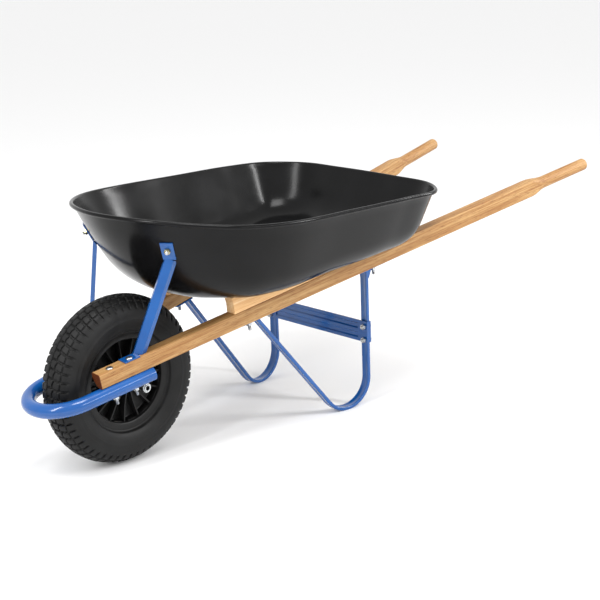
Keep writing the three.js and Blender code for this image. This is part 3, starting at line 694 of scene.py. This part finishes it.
def build_wedge(mesh):
    """Sawn wedge between the handle's top and the tray's floor."""
    points = [HANDLE_FRAME.inverted() @ c for c in corners("wedge_left")]
    front, rear = max(p.x for p in points), min(p.x for p in points)
    near = [p for p in points if p.x > front - 20]
    far = [p for p in points if p.x < rear + 20]
    foot, roof = min(p.z for p in near), max(p.z for p in near)
    foot_rear, roof_rear = min(p.z for p in far), max(p.z for p in far)
    bulge = []
    for t in (k / 6 for k in range(7)):
        bulge.append((front - WEDGE["hollow"] * (1 - (2 * t - 1) ** 2), blend(foot, roof, t)))
    add_slab(mesh, bulge + [(rear, roof_rear), (rear, foot_rear)], WEDGE["half"])


# ---- Steel ---------------------------------------------------------------------------------

def add_sweep(mesh, path, section, across):
    """A section of (side, thickness) points carried along a path in one plane, whose normal is across."""
    rings = []
    for i, point in enumerate(path):
        tangent = (path[min(i + 1, len(path) - 1)] - path[max(i - 1, 0)]).normalized()
        outward = across.cross(tangent).normalized()
        rings.append([point + across * s + outward * t for s, t in section])
    loft(mesh, rings, caps=True)


def pressed_flat(point, thickness):
    """Where the tube runs under a handle it is pressed flat above, and below where the strap lies."""
    side = 1 if point.y >= 0 else -1
    to_handle = HANDLE_FRAME.inverted() @ LOOP_FRAME
    local = to_handle @ Vector((point.x, point.y * side, point.z))
    if local.x > 52:
        return point
    free = smoothstep(local.x, 4, 30) * 6
    top = -HANDLE["half"] - GAP - thickness + free
    low = STRAP_TOP + GAP + thickness - free
    local.z = min(top, max(low, local.z))
    back = to_handle.inverted() @ local
    return Vector((back.x, back.y * side, back.z))


def loop_line():
    """The wheel guard's middle line in its own sloping plane."""
    radius, centre = LOOP["radius"], LOOP["centre"]
    start_x = FRONT.x - LOOP["tail"] + 1.5

    def line_y(x):
        return FRONT.y + LOOP["offset"] / math.cos(TOE) + (FRONT.x - x) * math.tan(TOE)

    bend = math.pi / 2 - TOE
    turns = np.linspace(bend, -bend, 72)
    arc = [Vector((centre + radius * math.cos(a), radius * math.sin(a), 0)) for a in turns]
    left = [Vector((start_x, line_y(start_x), 0)).lerp(arc[0], k / 60) for k in range(60)]
    right = [Vector((p.x, -p.y, 0)) for p in reversed(left)]
    return left + arc + right


def build_loop(mesh):
    """Bent steel tube: the wheel guard, open at its two rear ends."""
    line = loop_line()
    skins = []
    for size, thickness in ((LOOP["tube"], 0), (LOOP["tube"] - LOOP["wall"], LOOP["wall"])):
        rings = []
        for i, point in enumerate(line):
            tangent = (line[min(i + 1, len(line) - 1)] - line[max(i - 1, 0)]).normalized()
            side = Vector((0, 0, 1)).cross(tangent)
            ring = []
            for k in range(TUBE_SIDES):
                angle = 2 * math.pi * k / TUBE_SIDES
                spot = point + side * size * math.cos(angle) + Vector((0, 0, size * math.sin(angle)))
                ring.append(pressed_flat(spot, thickness))
            rings.append(ring)
        skins.append([[mesh.verts.new(p) for p in ring] for ring in rings])
    outer, inner = skins
    for rows in skins:
        for near, far in zip(rows, rows[1:]):
            for j in range(TUBE_SIDES):
                k = (j + 1) % TUBE_SIDES
                mesh.faces.new((near[j], far[j], far[k], near[k]))
    for end in (0, -1):
        for j in range(TUBE_SIDES):
            k = (j + 1) % TUBE_SIDES
            mesh.faces.new((outer[end][j], outer[end][k], inner[end][k], inner[end][j]))


def leg_point(along, height):
    """A point under or over the handle, in the leg's upright plane."""
    x = height * math.sin(SLOPE) - along * math.cos(SLOPE)
    return (x, FRONT.z + along * math.sin(SLOPE) + height * math.cos(SLOPE))


def leg_line():
    """The leg's middle line: down and back, round the foot and straight up."""
    thickness, radius = LEG["thickness"], LEG["radius"]
    centre = Vector((LEG["upright"] + radius, 0, radius + thickness / 2 - LEG["foot_cut"]))

    def on_arc(angle):
        return centre + Vector((radius * math.cos(angle), 0, radius * math.sin(angle)))

    top = Vector((DIAGONAL["x"], 0, DIAGONAL["z"]))
    corner = on_arc(DIAGONAL["kink"])
    start = corner.lerp(top, DIAGONAL["blend"] / (top - corner).length)
    arc_start = DIAGONAL["kink"] - DIAGONAL["blend"] / radius
    first = top.lerp(corner, -0.12)
    line = [first.lerp(start, k / 12) for k in range(12)]
    finish_bend = on_arc(arc_start)
    for t in (k / 8 for k in range(8)):
        line.append(start * (1 - t) ** 2 + corner * 2 * t * (1 - t) + finish_bend * t * t)
    line += [on_arc(a) for a in np.linspace(arc_start, -math.pi, 48)]
    foot_end = line[-1]
    line += [foot_end.lerp(Vector((LEG["upright"], 0, 380)), k / 14) for k in range(1, 15)]
    return line


def rib_section(width, height, radius, rib):
    """A flat bar's section with rounded edges and a shallow groove pressed along each face."""
    w, h = width / 2 - radius, height / 2 - radius
    points = []
    for k, (x, z) in enumerate(((w, h), (-w, h), (-w, -h), (w, -h))):
        for j in range(6):
            angle = math.pi / 2 * (k + j / 5)
            points.append((x + radius * math.cos(angle), z + radius * math.sin(angle)))
        if k in (0, 2):
            way = 1 if k == 0 else -1
            for x_part, sink in ((0.3, 0), (0.18, rib), (-0.18, rib), (-0.3, 0)):
                points.append((way * x_part * width, way * (height / 2 - sink)))
    return points


def build_leg(mesh):
    """Bent steel bar with a foot, folded out into a bolted tab at each end."""
    low = -HANDLE["half"] - GAP
    add_sweep(mesh, leg_line(), rib_section(LEG["width"], LEG["thickness"], 2.5, 1.3), Vector((0, 1, 0)))
    trim(mesh, LEG_FRAME.inverted() @ HANDLE_FRAME @ Vector((0, 0, low - 0.5)), leg_up())
    trim(mesh, Vector((0, 0, 0)), Vector((0, 0, -1)))
    under = low - TAB["thickness"]
    half = LEG["width"] / 2 + 1
    front, front_end, rear, rear_end = (TAB[k] for k in ("front", "front_end", "rear", "rear_end"))
    web = TAB["web"]
    upright, thick = LEG["upright"], LEG["thickness"] / 2
    add_slab(mesh, [
        leg_point(front, low), leg_point(front_end, low),
        leg_point(front_end, under), leg_point(front, under),
    ], half)
    deep, shallow = (leg_point(TAB[k], under)[1] for k in ("web_rear", "web_front"))
    add_slab(mesh, [
        leg_point(rear, low), leg_point(rear_end, low),
        leg_point(rear_end, under), (upright - thick - 8, deep),
        (upright - thick, deep - web), (upright + thick - 1, deep - web), (upright + thick - 1, shallow),
        leg_point(rear, under),
    ], half)


def leg_up():
    return (LEG_FRAME.inverted() @ HANDLE_FRAME).to_3x3() @ Vector((0, 0, 1))


def trim(mesh, point, normal):
    """Cuts off what lies beyond a plane and closes the cut."""
    everything = mesh.verts[:] + mesh.edges[:] + mesh.faces[:]
    made = bmesh.ops.bisect_plane(mesh, geom=everything, plane_co=point, plane_no=normal, clear_outer=True)
    edges = [e for e in made["geom_cut"] if isinstance(e, bmesh.types.BMEdge)]
    bmesh.ops.holes_fill(mesh, edges=edges, sides=0)


def refined(name, material, slot, body="frame", bevel=0.4, segments=2, sharp=32):
    """A CAD piece as a clean mesh: flat faces joined up again and every edge rounded."""
    mesh = bmesh.new()
    mesh.from_mesh(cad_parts[name].data)
    mesh.transform(PLACE.inverted())
    bmesh.ops.remove_doubles(mesh, verts=mesh.verts, dist=0.01)
    bmesh.ops.dissolve_limit(mesh, angle_limit=math.radians(0.6), verts=mesh.verts, edges=mesh.edges)
    options = {"bevel": bevel, "segments": segments, "sharp": sharp}
    return piece(f"{name}_fine", mesh, material, slot, body, [name], **options)


# ---- Fasteners, axle and bearings --------------------------------------------------------------

def build_bolt(mesh, length):
    """Carriage bolt from its dome up z: a square neck is hidden in the work, the end is threaded."""
    shank, head, dome, pitch = (BOLT[k] for k in ("shank", "head", "dome", "pitch"))
    cap = [(head * math.sin(a), dome * (1 - math.cos(a) ** 0.8)) for a in np.linspace(0, math.pi / 2, 10)]
    profile = cap + [(head, dome + 0.01), (shank, dome + 0.02)]
    thread_start = max(dome + 1, length - BOLT["threaded"])
    turns = int((length - 1 - thread_start) / pitch)
    for k in range(turns):
        base = thread_start + k * pitch
        profile += [(shank, base), (shank - 0.55, base + pitch * 0.5)]
    profile += [(shank, length - 0.9), (shank - 0.8, length), (0, length)]
    add_turned(mesh, profile, 32)


def build_nut(mesh, height, across):
    """Hexagon nut with chamfered corners and an open bore."""
    flat = across * math.cos(math.pi / 6)
    bore = BOLT["shank"] + 0.1
    rings = []
    for k in range(72):
        angle = 2 * math.pi * k / 72
        reach = flat / math.cos((angle + math.pi / 6) % (math.pi / 3) - math.pi / 6)
        drop = (reach - flat) * 0.577 + 0.05
        profile = [
            (bore + 0.5, 0), (flat * 0.97, 0), (reach, drop), (reach, height - drop),
            (flat * 0.97, height), (bore + 0.5, height), (bore, height - 0.5), (bore, 0.5),
        ]
        rings.append([Vector((r * math.cos(angle), r * math.sin(angle), z)) for r, z in profile])
    loft(mesh, rings, along=True)


def fit_fasteners():
    """A domed bolt and a chamfered nut on the axis of each CAD bolt and nut."""
    for node in sorted(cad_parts):
        if "_bolt_" in node:
            place, length = spin_frame(node)
            mesh = bmesh.new()
            build_bolt(mesh, length)
            piece(f"{node}_fine", mesh, ZINC, "zinc", "frame", [node], place, sharp=40)
        if "_nut_" in node:
            place, length = spin_frame(node)
            back = place.inverted()
            across = max((back @ p).xy.length for p in corners(node))
            mesh = bmesh.new()
            build_nut(mesh, length, across)
            turn = Matrix.Rotation(hexagon_turn(node, place, across), 4, "Z")
            plate = YELLOW_ZINC if node.startswith("tray_nut") else ZINC
            piece(f"{node}_fine", mesh, plate, "zinc", "frame", [node], place @ turn, sharp=28)


def hexagon_turn(node, place, across):
    """The angle of one of the nut's corners about its axis."""
    back = place.inverted()
    far = [back @ p for p in corners(node) if (back @ p).xy.length > across - 0.05]
    return math.atan2(far[0].y, far[0].x)


def sleeve_profile(outer, inner, low, high, chamfer=0.5):
    """A tube's section with broken edges."""
    return [
        (inner, low + chamfer), (inner + chamfer, low), (outer - chamfer, low), (outer, low + chamfer),
        (outer, high - chamfer), (outer - chamfer, high), (inner + chamfer, high), (inner, high - chamfer),
    ]


def turned_piece(name, profile, material, slot, body):
    mesh = bmesh.new()
    loft(mesh, revolve(profile, 64), along=True)
    piece(f"{name}_fine", mesh, material, slot, body, [name], HUB_FRAME, sharp=30)


def fit_axle():
    half = (axle_high.y - axle_low.y) / 2 / MM
    turned_piece("axle", sleeve_profile(7.9, 5.5, -half, half), ZINC, "zinc", "frame")
    for side, way in (("left", 1), ("right", -1)):
        for name, outer, inner, material, slot, body in (
            ("spacer", 12, 8.2, PLASTIC, "rim_plastic", "frame"),
            ("bearing", 17, 8.3, BEARING_STEEL, "bearing_steel", "wheel"),
        ):
            low, high = (abs(v) / MM for v in sorted((c.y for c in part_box(f"{name}_{side}")), key=abs))
            profile = [(r, way * y) for r, y in sleeve_profile(outer, inner, low, high, 0.4)]
            turned_piece(f"{name}_{side}", profile, material, slot, body)


# ---- Assembly ------------------------------------------------------------------------------

def build_barrow():
    for name, build, material, slot, body, place, options in (
        ("tray", build_tray, BLACK, "tray_paint", "frame", Matrix.Identity(4), {"sharp": 50}),
        ("tyre", build_tyre, RUBBER, "tyre_rubber", "wheel", HUB_FRAME, {"sharp": 40}),
        ("rim", build_rim, PLASTIC, "rim_plastic", "wheel", HUB_FRAME, {"sharp": 40}),
        ("front_loop", build_loop, BLUE, "blue_paint", "frame", LOOP_FRAME, {"sharp": 50}),
    ):
        mesh = bmesh.new()
        build(mesh)
        piece(f"{name}_fine", mesh, material, slot, body, [name], place, **options)
    both_sides("handle", build_handle, ASH, "handle_wood", HANDLE_FRAME, sharp=40)
    both_sides("wedge", build_wedge, PINE, "wedge_wood", HANDLE_FRAME, bevel=0.8)
    both_sides("leg", build_leg, BLUE, "blue_paint", LEG_FRAME, bevel=0.8, segments=2)
    for name in ("front_brace_left", "front_brace_right", "cross_brace"):
        refined(name, BLUE, "blue_paint", bevel=0.8)
    for side in ("left", "right"):
        refined(f"axle_strap_{side}", ZINC, "zinc", bevel=0.4)
    for name, material, slot in (
        ("inner_tube", TUBE_RUBBER, "tube_rubber"), ("valve_stem", TUBE_RUBBER, "tube_rubber"),
        ("valve_cap", PLASTIC, "rim_plastic"),
    ):
        refined(name, material, slot, "wheel", bevel=0.3)
    fit_fasteners()
    fit_axle()


def lay_floor():
    """A pale matt floor."""
    mesh = bmesh.new()
    half = 30
    mesh.faces.new([mesh.verts.new((x * half, y * half, 0)) for x, y in ((-1, -1), (1, -1), (1, 1), (-1, 1))])
    data = bpy.data.meshes.new("floor")
    mesh.to_mesh(data)
    mesh.free()
    material, _, shader = finish("pale_matt_floor", Roughness=0.9, Specular_IOR_Level=0.1)
    shader.inputs["Base Color"].default_value = linear("#f4f4f4")
    data.materials.append(material)
    floor = bpy.data.objects.new("floor", data)
    bpy.context.scene.collection.objects.link(floor)


set_camera()
set_studio()
build_barrow()
lay_floor()
